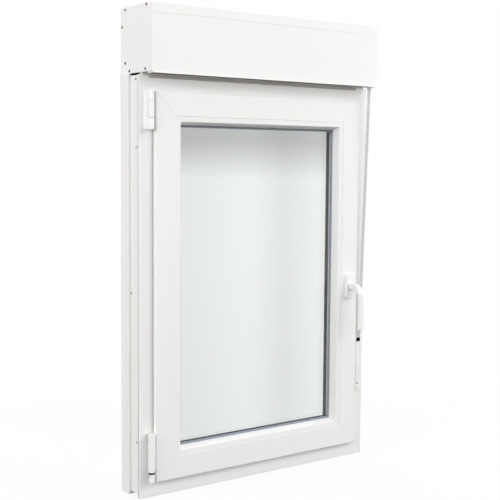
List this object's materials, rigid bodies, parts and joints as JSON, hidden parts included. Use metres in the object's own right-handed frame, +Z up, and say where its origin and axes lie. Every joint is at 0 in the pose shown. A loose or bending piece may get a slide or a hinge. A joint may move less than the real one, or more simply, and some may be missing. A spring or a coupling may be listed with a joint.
{
  "type": "tilting window with roller shutter",
  "caption": "White plastic tilt and turn window with a mitred frame and sash, double glass, lever handle, shutter box on top, guide rails and a strap with its winder.",
  "frame": {"origin": "on the underside of the sill lip, at mid width and halfway through the depth of the lip", "axes": "+Z up, +X to the right as seen from the room, the room on -Y, outdoors on +Y"},
  "size_m": [0.8, 0.1875, 1.313],
  "materials": {
    "white_pvc": "smooth white with a soft sheen",
    "clear_glass": "clear float glass",
    "spacer_metal": "plain mill finish",
    "dark_rubber": "matt black",
    "shutter_slats": "matt white",
    "galvanised_steel": "galvanised",
    "black_plastic": "matt black",
    "grey_webbing": "woven light grey webbing",
    "white_fittings": "smooth white",
    "white_handle": "smooth white powder coat"
  },
  "bodies": {
    "window": {"frame_sill": "white_pvc", "frame_head": "white_pvc", "frame_left_jamb": "white_pvc", "frame_right_jamb": "white_pvc", "sash_bottom_rail": "white_pvc", "sash_top_rail": "white_pvc", "sash_hinge_stile": "white_pvc", "sash_lock_stile": "white_pvc", "bead_bottom": "white_pvc", "bead_top": "white_pvc", "bead_left": "white_pvc", "bead_right": "white_pvc", "box_left_end": "white_pvc", "box_right_end": "white_pvc", "box_top_panel": "white_pvc", "box_front_cover": "white_pvc", "box_base_panel": "white_pvc", "box_rear_panel": "white_pvc", "guide_left": "white_pvc", "guide_right": "white_pvc", "pane_inside": "clear_glass", "pane_outside": "clear_glass", "pane_spacer": "spacer_metal", "gasket_inside": "dark_rubber", "gasket_outside": "dark_rubber", "sash_seal": "dark_rubber", "stop_seal": "dark_rubber", "shutter_roll": "shutter_slats", "shutter_end_slat": "shutter_slats", "shutter_axle": "galvanised_steel", "hinge_lower_pin": "black_plastic", "strap": "grey_webbing", "strap_outlet": "white_fittings", "winder_plate": "white_fittings", "winder_case": "white_fittings", "hinge_upper_frame": "white_fittings", "hinge_upper_sash": "white_fittings", "hinge_lower_frame": "white_fittings", "hinge_lower_sash": "white_fittings", "handle_rose": "white_handle"},
    "handle": {"handle_lever": "white_handle"}
  },
  "joints": [
    {"name": "handle_turn", "type": "hinge", "parent": "window", "child": "handle", "pos_m": [0.3235, -0.049, 0.532], "axis": [0, 1, 0], "range_deg": [0, 180]}
  ]
}
